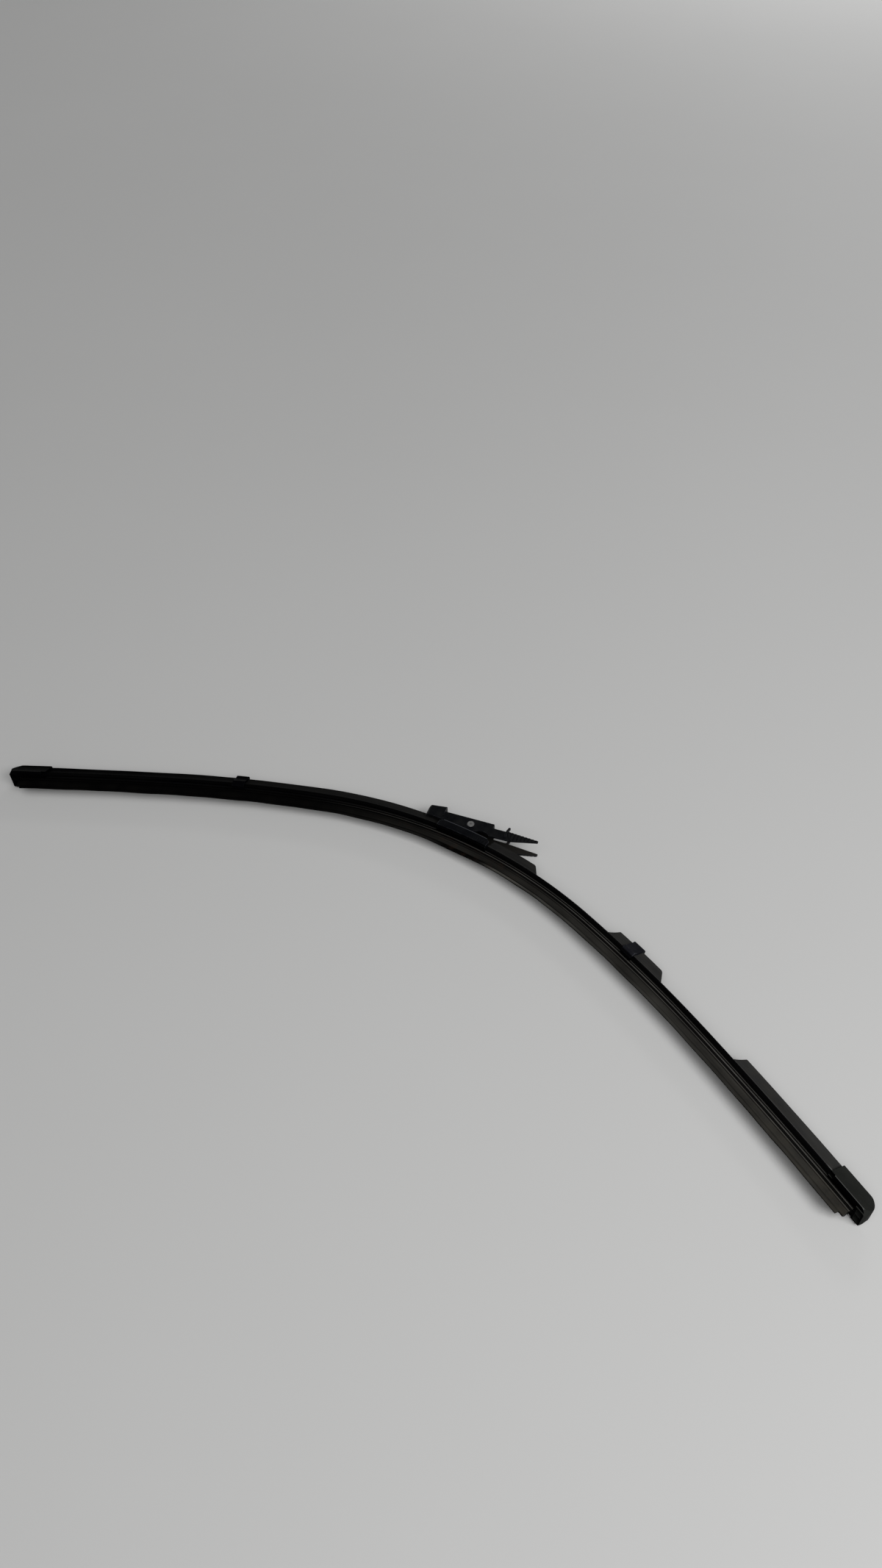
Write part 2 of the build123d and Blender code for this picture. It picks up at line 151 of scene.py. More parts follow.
def new_finish(name, **constants):
    """Material with one shader, and the numbers that hold all over the surface set on it."""
    made = bpy.data.materials.new(name)
    made.use_nodes = True
    shader = made.node_tree.nodes["Principled BSDF"]
    for label, value in constants.items():
        shader.inputs[label.replace("_", " ")].default_value = value
    return made, made.node_tree, shader


def dress(tree, shader, colour, roughness, height, depth):
    """Colour, roughness and relief of a finish."""
    bump = add(tree, "ShaderNodeBump", {"Height": height, "Distance": depth, "Strength": 1.0})
    tree.links.new(colour, shader.inputs["Base Color"])
    tree.links.new(roughness, shader.inputs["Roughness"])
    tree.links.new(bump.outputs["Normal"], shader.inputs["Normal"])


def edge_wear_and_highlight():
    """Shared effect: a pale line along sharp edges, broken up by noise: worn edges, and on the plastic
    mouldings also a painted highlight.

    It stays off all that lies nearer than Width to the blade's middle plane.
    """
    line_start, line_full = 0.010, 0.10
    patch_low, patch_high = 0.35, 0.65
    tree, given, made = effect("edge_wear_and_highlight", {"Radius": 0.0003, "Patch": 400.0, "Width": 0.0}, ["Mask"])
    rounded_normal = add(tree, "ShaderNodeBevel", {"Radius": given["Radius"]}, samples=6).outputs[0]
    likeness = arrow(tree, "DOT_PRODUCT", rounded_normal, facing_on(tree))
    line = ramp(tree, reckon(tree, "SUBTRACT", 1.0, likeness), line_start, line_full)
    place = place_on(tree)
    patch = ramp(tree, speckle(tree, place, given["Patch"]), patch_low, patch_high)
    from_middle = apart(tree, split(tree, place)["Z"], pivot.z)
    outside = reckon(tree, "GREATER_THAN", from_middle, given["Width"])
    tree.links.new(times(tree, line, patch, outside), made["Mask"])
    return tree


def mould_grain():
    """Shared effect: the fine spark grain of a mould, and slow changes of gloss over a moulding."""
    cloud_low, cloud_high = 0.3, 0.7
    tree, given, made = effect("mould_grain", {"Grain": 3500.0, "Cloud": 90.0}, ["Height", "Cloud"])
    place = place_on(tree)
    tree.links.new(speckle(tree, place, given["Grain"], detail=2.0), made["Height"])
    cloud = speckle(tree, place, given["Cloud"], detail=4.0)
    tree.links.new(ramp(tree, cloud, cloud_low, cloud_high), made["Cloud"])
    return tree


edges_worn_and_lit = edge_wear_and_highlight()
grain = mould_grain()

rail_finish, tree, shader = new_finish("painted_spring_steel", IOR=1.30)
chips = use(tree, edges_worn_and_lit, Radius=rail_edge, Patch=700.0)["Mask"]
skin = use(tree, grain, Grain=1800.0, Cloud=120.0)
dress(tree, shader, tint(tree, chips, rail_paint, rail_bare_steel),
      between(tree, skin["Cloud"], rail_roughness), skin["Height"], rail_relief)
tree.links.new(chips, shader.inputs["Metallic"])
for node in ("spring_rail_upper", "spring_rail_lower"):
    frame["nodes"][node].data.materials.clear()
    frame["nodes"][node].data.materials.append(rail_finish)

# Wiping rubber
# One extruded strip: a head with grooves for the rails, a thin tilting web, and a wedge with the wiping lip.
# It is black natural rubber with a hazy, dusty skin, and its lip has taken a lean from being parked.
# Its colour also carries painted light and shade: lighter towards the right, on upturned faces and on the
# lip, with painted highlights on ledges and ears and painted shade in recesses and creases.
half_length = 0.350
centre_radius, centre_reach = 0.331, 0.110
flank_radius, flank_reach = 0.943, 0.220
end_radius = 2.750
pivot_height = 0.0103
middle = pivot - Vector((0, pivot_height, 0))

rubber_setback, rail_play = 0.0075, 0.00005
rubber_end = half_length - rubber_setback
rail_top, rail_bottom = -0.00125, -0.00215
head_half, head_top = 0.0024, -0.00045
web_half = 0.0013
ledge_half, ledge_thickness = 0.0024, 0.00045
groove_half, groove_height = 0.0010, 0.0006
rib_half, rib_thickness = 0.0016, 0.0007
neck_half, neck_height = 0.0008, 0.0019
ear_half, ear_thickness = 0.0022, 0.0009
tilt_web_half, tilt_web_height = 0.00035, 0.00085
wedge_half, wedge_rim, wedge_height = 0.0023, 0.00065, 0.0036
lip_root_half, lip_tip_half, lip_height = 0.0006, 0.00038, 0.0031
lip_trim, lip_stub = 0.0030, 0.00002
lip_lean, lip_ripple = radians(21), radians(1.6)
ripple_slow, ripple_beat, beat_phase = 41, 67, 1.3
ripple_quick, quick_phase, quick_share = 190, 0.6, 0.5
kink_lean, kink_at, kink_reach = radians(-9), 0.004, 0.016
rubber_corner, corner_share = 0.00012, 0.4
rubber_step = 0.0025
smallest_edge = 0.000004
strip_crease = radians(50)


def station(place):
    """Point of the blade's curve at a place along it, and the direction towards its crest there."""
    turn_one = centre_reach / centre_radius
    turn_two = turn_one + (flank_reach - centre_reach) / flank_radius
    centre_one = Vector((0, -centre_radius))
    centre_two = centre_one + (centre_radius - flank_radius) * Vector((sin(turn_one), cos(turn_one)))
    centre_three = centre_two + (flank_radius - end_radius) * Vector((sin(turn_two), cos(turn_two)))
    reach = abs(place)
    if reach <= centre_reach:
        radius, centre, turn = centre_radius, centre_one, reach / centre_radius
    elif reach <= flank_reach:
        radius, centre, turn = flank_radius, centre_two, turn_one + (reach - centre_reach) / flank_radius
    else:
        radius, centre, turn = end_radius, centre_three, turn_two + (reach - flank_reach) / end_radius
    side = 1 if place >= 0 else -1
    point = centre + radius * Vector((sin(turn), cos(turn)))
    crest = Vector((side * sin(turn), cos(turn), 0))
    return middle + Vector((side * point.x, point.y, 0)), crest


def spread(start, end, step):
    """Evenly spaced places from start to end, about a step apart."""
    count = max(1, round((end - start) / step))
    return [start + (end - start) * index / count for index in range(count + 1)]


def rounded(points, radius):
    """Closed outline with each corner eased by three points."""
    eased = []
    for index, corner in enumerate(points):
        corner = Vector(corner)
        before = Vector(points[index - 1]) - corner
        after = Vector(points[(index + 1) % len(points)]) - corner
        reach = min(radius, corner_share * before.length, corner_share * after.length)
        first = corner + before.normalized() * reach
        last = corner + after.normalized() * reach
        eased += [first, (first + last + 2 * corner) / 4, last]
    return eased


def carried(name, places, outline, finishes, finish_of=None):
    """Mesh of an outline carried along the blade.

    Its points keep their place along the blade and their height, for the finishes to use.
    """
    corners, along_values, heights, faces = [], [], [], []
    for place in places:
        point, crest = station(place)
        ring = outline(place)
        for across, height in ring:
            corners.append(point + crest * height + Vector((0, 0, across)))
            along_values.append(place)
            heights.append(height)
    count = len(ring)
    for row in range(len(places) - 1):
        for column in range(count):
            beside = (column + 1) % count
            faces.append((row * count + column, row * count + beside,
                          (row + 1) * count + beside, (row + 1) * count + column))
    faces.append(tuple(range(count)))
    faces.append(tuple((len(places) - 1) * count + column for column in range(count)))
    mesh = bpy.data.meshes.new(name)
    mesh.from_pydata(corners, [], faces)
    mesh.attributes.new("along", "FLOAT", "POINT").data.foreach_set("value", along_values)
    mesh.attributes.new("height", "FLOAT", "POINT").data.foreach_set("value", heights)
    for finish in finishes:
        mesh.materials.append(finish)
    if finish_of:
        for face in mesh.polygons:
            mean_height = sum(heights[corner] for corner in face.vertices) / len(face.vertices)
            face.material_index = finish_of(mean_height)
    shape = bmesh.new()
    shape.from_mesh(mesh)
    bmesh.ops.dissolve_degenerate(shape, dist=smallest_edge, edges=shape.edges)
    bmesh.ops.recalc_face_normals(shape, faces=shape.faces)
    shape.to_mesh(mesh)
    shape.free()
    mesh.polygons.foreach_set("use_smooth", [True] * len(mesh.polygons))
    mesh.set_sharp_from_angle(angle=strip_crease)
    piece = bpy.data.objects.new(name, mesh)
    bpy.context.scene.collection.objects.link(piece)
    return piece


def rubber_outline(place):
    """Section of the rubber at a place, its wedge and lip leaned about the tilting web."""
    head_bottom = rail_top + rail_play
    ledge_top = rail_bottom - rail_play
    ledge_bottom = ledge_top - ledge_thickness
    rib_top = ledge_bottom - groove_height
    rib_bottom = rib_top - rib_thickness
    ear_top = rib_bottom - neck_height
    ear_bottom = ear_top - ear_thickness
    wedge_top = ear_bottom - tilt_web_height
    hinge = (ear_bottom + wedge_top) / 2
    upper = [
        (head_half, head_top), (head_half, head_bottom), (web_half, head_bottom),
        (web_half, ledge_top), (ledge_half, ledge_top), (ledge_half, ledge_bottom),
        (groove_half, ledge_bottom), (groove_half, rib_top), (rib_half, rib_top),
        (rib_half, rib_bottom), (neck_half, rib_bottom), (neck_half, ear_top),
        (ear_half, ear_top), (ear_half, ear_bottom), (tilt_web_half, ear_bottom),
    ]
    lip_reach = lip_height if abs(place) < rubber_end - lip_trim else lip_stub
    wedge = [
        (tilt_web_half, wedge_top), (wedge_half, wedge_top), (wedge_half, wedge_top - wedge_rim),
        (lip_root_half, wedge_top - wedge_height), (lip_tip_half, wedge_top - wedge_height - lip_reach),
    ]
    ripple = sin(place * ripple_slow) * sin(place * ripple_beat + beat_phase)
    ripple += quick_share * sin(place * ripple_quick + quick_phase)
    lean = lip_lean + lip_ripple * ripple + kink_lean * exp(-((place - kink_at) / kink_reach) ** 2)

    def leaned(across, height):
        drop = height - hinge
        return across * cos(lean) - drop * sin(lean), hinge + across * sin(lean) + drop * cos(lean)

    right = upper + [leaned(*point) for point in wedge]
    left = [(-across, height) for across, height in upper]
    left += [leaned(-across, height) for across, height in wedge]
    return rounded(right + left[::-1], rubber_corner)


def drawn_streaks():
    """Shared effect: haze and fine lines that follow the length of an extruded strip."""
    haze_length, haze_width = 35.0, 160.0
    haze_low, haze_high = 0.3, 0.72
    lines_low, lines_high = 0.3, 0.7
    tree, given, made = effect("drawn_streaks", {"Length": 9.0, "Fineness": 900.0},
                               ["Haze", "Lines", "Along", "Height", "Aside"])
    along = add(tree, "ShaderNodeAttribute", attribute_name="along").outputs["Fac"]
    height = add(tree, "ShaderNodeAttribute", attribute_name="height").outputs["Fac"]
    across = split(tree, place_on(tree))["Z"]

    def stretched(length, width):
        return add(tree, "ShaderNodeCombineXYZ", {
            "X": times(tree, along, length),
            "Y": times(tree, height, width),
            "Z": times(tree, across, width)}).outputs[0]

    lines = speckle(tree, stretched(given["Length"], given["Fineness"]), 1.0, detail=3.0)
    haze = speckle(tree, stretched(haze_length, haze_width), 1.0, detail=6.0)
    tree.links.new(ramp(tree, haze, haze_low, haze_high), made["Haze"])
    tree.links.new(ramp(tree, lines, lines_low, lines_high), made["Lines"])
    tree.links.new(along, made["Along"])
    tree.links.new(height, made["Height"])
    tree.links.new(apart(tree, across, pivot.z), made["Aside"])
    return tree


def settled_dust():
    """Shared effect: dust on what faces up, in patches and specks."""
    up_low, up_high, up_limits = -0.1, 0.9, (0.25, 1.0)
    patch_low, patch_high = 0.35, 0.7
    speck_low, speck_high = 0.62, 0.74
    tree, given, made = effect("settled_dust", {"Amount": 0.5, "Patch": 60.0, "Speck": 900.0}, ["Mask"])
    place = place_on(tree)
    facing = ramp(tree, split(tree, facing_on(tree))["Z"], up_low, up_high, *up_limits)
    patch = ramp(tree, speckle(tree, place, given["Patch"], detail=5.0), patch_low, patch_high)
    speck = ramp(tree, speckle(tree, place, given["Speck"], detail=2.0), speck_low, speck_high)
    both = reckon(tree, "MAXIMUM", patch, speck)
    tree.links.new(times(tree, both, facing, given["Amount"]), made["Mask"])
    return tree


streaks = drawn_streaks()
dust = settled_dust()

# Colours: the haze colour also serves as painted light, and the shelf, ledge-and-ear and lip colours are
# painted highlights and painted light.
rubber_black = (0.0008, 0.0008, 0.0009, 1.0)
rubber_haze_and_light, haze_limits, line_limits = (0.040, 0.0382, 0.0342, 1.0), (0.45, 1.0), (0.65, 1.0)
rubber_mud, mud_start, mud_full, mud_limits = (0.055, 0.049, 0.037, 1.0), 0.22, 0.33, (0.05, 0.7)
rubber_shelf_highlight, shelf_low, shelf_high = (0.110, 0.107, 0.100, 1.0), -0.0050, -0.0042
rubber_ledge_ear_highlight, ledge_ear_highlight_start, ledge_ear_highlight_full, ledge_ear_highlight_most = (0.210, 0.205, 0.190, 1.0), 0.06, 0.15, 0.5
rubber_lip_light, lip_light_start, lip_light_full = (0.085, 0.083, 0.074, 1.0), 0.022, 0.036
rubber_stain, stain_reach, stain_core = (0.028, 0.017, 0.011, 1.0), 0.075, 0.3
stain_low, stain_high, stain_most = 0.55, 0.95, 0.22
rubber_shade_end, rubber_light_end, rubber_shade_share = -0.12, 0.17, 0.01
recess_share = 0.05
tilt_low, tilt_high, tilt_share = 0.35, 0.75, 0.03
darker_near, darker_far, darker_most = 0.012, 0.024, 0.95
darker_low, darker_high = -0.0117, -0.0103
lip_root, root_line, root_fade = -0.0113, 0.00032, 0.00055
merge_start, merge_full, root_merged, lip_light_merged = 0.07, 0.13, 0.3, 0.1
tip_low, tip_high, tip_share = -0.0137, -0.0129, 0.35
ear_gap, gap_line, gap_fade, gap_most = -0.0070, 0.00022, 0.00042, 0.9
ear_middle, ear_inside, ear_outside, ear_share = -0.0063, 0.00035, 0.00050, 0.3
ledge_low, ledge_high = -0.0031, -0.0028
rubber_roughness = (0.42, 0.72)
rubber_relief = 0.00004

rubber_finish, tree, shader = new_finish("wiping_rubber", IOR=1.10)
drawn = use(tree, streaks)
along, height = drawn["Along"], drawn["Height"]
# Painted light: the haze fades almost to nothing at the left end and is full towards the right, standing in
# for light from the right.
painted_light_to_right = ramp(tree, along, rubber_shade_end, rubber_light_end, rubber_shade_share, 1.0)
# Painted shade: faces recessed towards the middle plane get little haze or dust.
proud = ramp(tree, drawn["Aside"], neck_half, rib_half, recess_share, 1.0)
# Painted shade: faces that do not turn upwards stay darker, with less haze, stain and lip light.
turned_aside = reckon(tree, "ABSOLUTE", split(tree, facing_on(tree))["Z"])
sidewards = ramp(tree, turned_aside, tilt_low, tilt_high, tilt_share, 1.0)
# The lower flank and lip are darker close to the kink in the lip.
from_kink = apart(tree, along, kink_at)
darker_near_kink = times(tree, ramp(tree, from_kink, darker_near, darker_far, darker_most, 0.0),
              ramp(tree, height, darker_low, darker_high, 1.0, 0.0))
# Painted shade: dark lines in the crease at the lip's root and in the gap under the ears.
root_shade = times(tree, ramp(tree, apart(tree, height, lip_root), root_line, root_fade, 1.0, 0.0),
                  ramp(tree, along, merge_start, merge_full, 1.0, root_merged))
gap_shade = ramp(tree, apart(tree, height, ear_gap), gap_line, gap_fade, gap_most, 0.0)
crease_shade = reckon(tree, "MAXIMUM", root_shade, gap_shade)
haze_and_painted_light = times(tree, between(tree, drawn["Haze"], haze_limits), painted_light_to_right, proud, sidewards,
             reckon(tree, "SUBTRACT", 1.0, darker_near_kink), reckon(tree, "SUBTRACT", 1.0, crease_shade))
lined_haze_and_painted_light = times(tree, haze_and_painted_light, between(tree, drawn["Lines"], line_limits))
skin = use(tree, dust, Amount=0.5, Patch=110.0, Speck=1400.0)["Mask"]
muddy = times(tree, skin, proud, ramp(tree, along, mud_start, mud_full, *mud_limits))
colour = tint(tree, muddy, tint(tree, lined_haze_and_painted_light, rubber_black, rubber_haze_and_light), rubber_mud)
# Painted highlight: the ledge and rib faces lightened.
shelf_highlight = times(tree, ramp(tree, height, shelf_low, shelf_high), lined_haze_and_painted_light)
colour = tint(tree, shelf_highlight, colour, rubber_shelf_highlight)
# Painted highlight: pale lines on the ledge and the ears, right of the middle.
on_ear = ramp(tree, apart(tree, height, ear_middle), ear_inside, ear_outside, ear_share, 0.0)
ridges = reckon(tree, "MAXIMUM", ramp(tree, height, ledge_low, ledge_high), on_ear)
ledge_ear_highlight = times(tree, ridges, lined_haze_and_painted_light, ramp(tree, along, ledge_ear_highlight_start, ledge_ear_highlight_full, 0.0, ledge_ear_highlight_most))
colour = tint(tree, ledge_ear_highlight, colour, rubber_ledge_ear_highlight)
# Painted light: the lip lighter than the wedge's flank, right of the middle.
on_lip = ramp(tree, height, lip_root - root_fade, lip_root - root_line, 1.0, 0.0)
lip_light_band = times(tree, on_lip, ramp(tree, along, lip_light_start, lip_light_full),
              ramp(tree, along, merge_start, merge_full, 1.0, lip_light_merged), sidewards,
              ramp(tree, height, tip_low, tip_high, tip_share, 1.0), drawn["Haze"])
colour = tint(tree, lip_light_band, colour, rubber_lip_light)
patches = use(tree, grain, Grain=2000.0, Cloud=170.0)["Cloud"]
stained = times(tree, ramp(tree, patches, stain_low, stain_high, 0.0, stain_most), sidewards,
                ramp(tree, from_kink, stain_core * stain_reach, stain_reach, 1.0, 0.0))
colour = tint(tree, stained, colour, rubber_stain)
dress(tree, shader, colour, between(tree, lined_haze_and_painted_light, rubber_roughness), drawn["Lines"], rubber_relief)

trims = [side * (rubber_end - lip_trim + offset) for side in (-1, 1) for offset in (-lip_stub, lip_stub)]
rubber_places = sorted(spread(-rubber_end, rubber_end, rubber_step) + trims)
wiping_rubber = carried("wiping_rubber", rubber_places, rubber_outline, [rubber_finish])
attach(wiping_rubber, "blade")
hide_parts("wiper_rubber")

# Spoilers
# Two lengths of a drawn strip with a soft hollow-sided fin, hazed grey, on a hard black base.
# The base's claws snap over the outer edges of the rails. The right-hand fin is cut away under the wiper arm.
# The fin's grey haze fades out towards the left end as painted light, and its foot carries painted highlights
# towards the right.
spoiler_setback = 0.014
spoiler_end = half_length - spoiler_setback
base_back = 0.020
beam_half = 0.0056
beam_bottom = -0.0026
room_half, room_low, room_top = 0.00495, -0.0022, -0.0012
mouth_half = 0.0040
channel_half, channel_top = 0.0025, -0.00035
fin_height, fin_lean = 0.0090, 0.0008
crest_radius = 0.00075
flank_hollow = 0.00045
seam = 0.00012
bare = 0.00003
stub_end, mid_start, mid_end, outer_start = 0.062, 0.127, 0.176, 0.2405
notches = ((stub_end, mid_start), (mid_end, outer_start))
start_slope, start_corner = 0.0034, 0.0008
end_slope, end_corner = 0.0076, 0.0020
spoiler_step, cut_step = 0.0025, 0.0003
fin_points, crest_points = 9, 9
fin_wave, wave_slow = 0.00012, 53
wave_quick, wave_phase, wave_share = 121, 2.0, 0.6


def lower_of(first, second, ease):
    """The lower of two heights, with the corner between them eased."""
    share = max(ease - abs(first - second), 0) / ease
    return min(first, second) - share * share * ease / 4


def fin_top(place):
    """Height to which the fin stands at a place: full, on a sloped cut, or bare base in a notch."""
    top = fin_height
    for notch_start, notch_end in notches:
        falling = (notch_start - place) / end_slope * fin_height
        rising = (place - notch_end) / start_slope * fin_height
        if falling >= rising:
            top = min(top, lower_of(falling, fin_height, end_corner))
        else:
            top = min(top, lower_of(rising, fin_height, start_corner))
    return max(top, bare)


def spoiler_outline(place):
    """Section of the spoiler at a place, with the fin taken down to its top there."""
    top = fin_top(place)
    shoulder = min(top, fin_height - crest_radius)
    sway = fin_wave * (sin(place * wave_slow) + wave_share * sin(place * wave_quick + wave_phase))

    def flank(share, side):
        height = share * shoulder
        rise = height / (fin_height - crest_radius)
        foot = side * (beam_half - seam)
        crest = fin_lean + side * crest_radius
        hollow = side * flank_hollow * 4 * rise * (1 - rise)
        return foot + (crest - foot) * rise - hollow + sway * rise * rise, height + seam * (1 - share)

    right = [flank(index / fin_points, 1) for index in range(fin_points + 1)]
    left = [flank(index / fin_points, -1) for index in range(fin_points + 1)]
    crest = []
    for index in range(1, crest_points):
        turn = pi * index / crest_points
        share = (1 - cos(turn)) / 2
        across = right[-1][0] + (left[-1][0] - right[-1][0]) * share
        room = max(top - shoulder, bare * sin(turn))
        crest.append((across, shoulder + min(crest_radius * sin(turn), room)))
    right_base = [
        (channel_half, channel_top), (channel_half, room_top), (room_half, room_top),
        (room_half, room_low), (mouth_half, room_low), (mouth_half, beam_bottom),
        (beam_half, beam_bottom), (beam_half, 0),
    ]
    left_base = [(-across, height) for across, height in right_base[::-1]]
    return right + crest + left[::-1] + rounded(left_base + right_base, seam)


def finish_by_height(height):
    """Fin above the seam, base below it."""
    return 0 if height > 1.5 * seam else 1


# Colours: the fin's haze colour also serves as painted light, and the arris colours are painted highlights.
fin_black = (0.0010, 0.0010, 0.0011, 1.0)
fin_haze_and_light, fin_haze_limits, fin_line_limits = (0.041, 0.041, 0.0404, 1.0), (0.65, 0.95), (0.8, 1.0)
fin_shade_end, fin_light_end = -0.26, 0.25
fin_arris_highlight, arris_highlight_low, arris_highlight_high, arris_highlight_share = (0.085, 0.085, 0.084, 1.0), 0.0002, 0.0005, 0.8
arris_end_highlight, end_highlight_low, end_highlight_high = (0.42, 0.42, 0.41, 1.0), 0.0005, 0.0010
end_highlight_start, end_highlight_full = 0.317, 0.328
fin_roughness, fin_relief = (0.40, 0.66), 0.00003

fin_finish, tree, shader = new_finish("soft_fin", IOR=1.03)
drawn = use(tree, streaks, Length=7.0, Fineness=600.0)
along, height = drawn["Along"], drawn["Height"]
# Painted light: the fin's haze and its dust specks fade out towards the left end.
painted_light_to_right = ramp(tree, along, fin_shade_end, fin_light_end)
lined_haze_and_painted_light = times(tree, between(tree, drawn["Haze"], fin_haze_limits), painted_light_to_right,
              between(tree, drawn["Lines"], fin_line_limits))
specks = use(tree, dust, Amount=0.15, Patch=150.0, Speck=1500.0)["Mask"]
colour = tint(tree, lined_haze_and_painted_light, fin_black, fin_haze_and_light)
colour = tint(tree, times(tree, specks, painted_light_to_right), colour, rubber_mud)
# Painted highlight: a light line along the fin's foot, towards the right.
arris_highlight = times(tree, ramp(tree, height, arris_highlight_low, arris_highlight_high, arris_highlight_share, 0.0), painted_light_to_right)
colour = tint(tree, arris_highlight, colour, fin_arris_highlight)
# Painted highlight: a bright line on the fin's foot over the last few millimetres before the right cap.
end_highlight = times(tree, ramp(tree, height, end_highlight_low, end_highlight_high, 1.0, 0.0),
               ramp(tree, along, end_highlight_start, end_highlight_full))
colour = tint(tree, end_highlight, colour, arris_end_highlight)
dress(tree, shader, colour, between(tree, lined_haze_and_painted_light, fin_roughness), drawn["Lines"], fin_relief)

base_black = (0.0006, 0.0006, 0.0007, 1.0)
base_scuff, scuff_low = (0.0060, 0.0060, 0.0064, 1.0), 0.72
base_roughness, base_relief = (0.24, 0.40), 0.00002

base_finish, tree, shader = new_finish("hard_base", IOR=1.15)
drawn = use(tree, streaks, Length=5.0, Fineness=1500.0)
scuffs = times(tree, ramp(tree, drawn["Lines"], scuff_low, 1.0), drawn["Haze"])
dress(tree, shader, tint(tree, scuffs, base_black, base_scuff),
      between(tree, drawn["Haze"], base_roughness), drawn["Lines"], base_relief)

cut_places = []
for notch_start, notch_end in notches:
    cut_places += spread(notch_start - 2 * end_slope, notch_start + cut_step, cut_step)
    cut_places += spread(notch_end - cut_step, notch_end + 2 * start_slope, cut_step)
even_places = [place for place in spread(base_back, spoiler_end, spoiler_step)
               if min(abs(place - cut) for cut in cut_places) > cut_step]
spoiler_runs = {
    "left": spread(-spoiler_end, -base_back, spoiler_step),
    "right": sorted(even_places + cut_places),
}
for side, places in spoiler_runs.items():
    spoiler = carried(f"{side}_spoiler", places, spoiler_outline, [fin_finish, base_finish], finish_by_height)
    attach(spoiler, "blade")
    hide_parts(f"spoiler_{side}")

# End caps
# Hollow plastic mouldings pushed over each end, which keep the rails and the rubber from creeping out.
# The plastic is a smooth dark grey with a faint green, with a painted highlight along the widest line of its
# sides.
# The right cap's haze stands partly for painted sheen, and faces towards the lip carry painted shade.
cap_setback = 0.010
cap_place = half_length - cap_setback
cap_edge = 0.00022
crisp_edge, moulding_crease = radians(30), radians(40)
same_point, same_plane = 0.000001, radians(0.2)


def eased(name, node, radius):
    """Copy of a moulded piece with its sharp edges eased, as a mould leaves them."""
    shape = bmesh.new()
    shape.from_mesh(frame["nodes"][node].data)
    bmesh.ops.remove_doubles(shape, verts=shape.verts, dist=same_point)
    bmesh.ops.dissolve_limit(shape, angle_limit=same_plane, verts=shape.verts, edges=shape.edges)
    crisp = [edge for edge in shape.edges
             if len(edge.link_faces) == 2 and edge.calc_face_angle() > crisp_edge]
    bmesh.ops.bevel(shape, geom=crisp, offset=radius, offset_type="OFFSET", segments=2, profile=0.5,
                    affect="EDGES", clamp_overlap=True, loop_slide=False)
    mesh = bpy.data.meshes.new(name)
    shape.to_mesh(mesh)
    shape.free()
    mesh.polygons.foreach_set("use_smooth", [True] * len(mesh.polygons))
    mesh.set_sharp_from_angle(angle=moulding_crease)
    piece = bpy.data.objects.new(name, mesh)
    bpy.context.scene.collection.objects.link(piece)
    piece.modifiers.new("flat_faces_stay_flat", "WEIGHTED_NORMAL").keep_sharp = True
    return piece


def shade_underside(piece, finish, place):
    """Give the faces that look towards the lip a finish of their own, which paints shade on them."""
    _, crest = station(place)
    piece.data.materials.append(finish)
    for face in piece.data.polygons:
        if face.normal.dot(crest) < underside_tilt:
            face.material_index = len(piece.data.materials) - 1


# Colours: the cap haze also serves as painted sheen, the pale edge colour as wear and painted highlight, and
# the underside black as painted shade.
cap_grey = (0.0016, 0.0018, 0.0017, 1.0)
cap_haze_and_sheen, cap_haze_limits = (0.017, 0.0178, 0.0165, 1.0), (0.75, 1.0)
cap_dust = (0.030, 0.031, 0.028, 1.0)
cap_shade_end, cap_light_end = -0.2, 0.2
cap_wear_and_highlight, cap_wear_and_highlight_limits = (0.16, 0.165, 0.155, 1.0), (0.1, 0.9)
ridge_highlight_start, ridge_highlight_full, ridge_highlight_limits = 0.0079, 0.0082, (0.35, 0.65)
cap_roughness, cap_relief = (0.30, 0.44), 0.000012
underside_shade_black, underside_wear_and_highlight = (0.0006, 0.0006, 0.0008, 1.0), 0.1
underside_tilt = -0.5
underside_roughness, underside_relief = (0.50, 0.70), 0.00002

# Painted shade: a near-black matte finish for the faces that look towards the lip.
underside_shade_finish, tree, shader = new_finish("painted_shade_underside", IOR=1.04)
skin = use(tree, grain, Grain=2600.0, Cloud=120.0)
wear_and_highlight = use(tree, edges_worn_and_lit, Radius=0.0004, Patch=300.0, Width=0.0070)["Mask"]
colour = tint(tree, times(tree, wear_and_highlight, underside_wear_and_highlight), underside_shade_black, cap_wear_and_highlight)
dress(tree, shader, colour, between(tree, skin["Cloud"], underside_roughness), skin["Height"],
      underside_relief)

cap_finish, tree, shader = new_finish("cap_plastic", IOR=1.03)
skin = use(tree, grain, Grain=5200.0, Cloud=70.0)
wear_and_highlight = use(tree, edges_worn_and_lit, Radius=0.0005, Patch=260.0, Width=0.0078)["Mask"]
dirt = use(tree, dust, Amount=0.55, Patch=40.0, Speck=1100.0)["Mask"]
place = split(tree, place_on(tree))
# Painted light: haze standing partly for sheen, and dust, only towards the right; a painted highlight along
# the widest line of the sides; edge lines strongest towards the right.
painted_light_to_right = ramp(tree, place["X"], cap_shade_end, cap_light_end)
haze_and_painted_light = times(tree, between(tree, skin["Cloud"], cap_haze_limits), painted_light_to_right)
colour = tint(tree, haze_and_painted_light, cap_grey, cap_haze_and_sheen)
colour = tint(tree, times(tree, dirt, painted_light_to_right), colour, cap_dust)
ridge_highlight = times(tree, ramp(tree, apart(tree, place["Z"], pivot.z), ridge_highlight_start, ridge_highlight_full),
              between(tree, skin["Cloud"], ridge_highlight_limits))
wear_and_highlight = times(tree, reckon(tree, "MAXIMUM", wear_and_highlight, ridge_highlight), between(tree, painted_light_to_right, cap_wear_and_highlight_limits))
colour = tint(tree, wear_and_highlight, colour, cap_wear_and_highlight)
dress(tree, shader, colour, between(tree, skin["Cloud"], cap_roughness), skin["Height"], cap_relief)

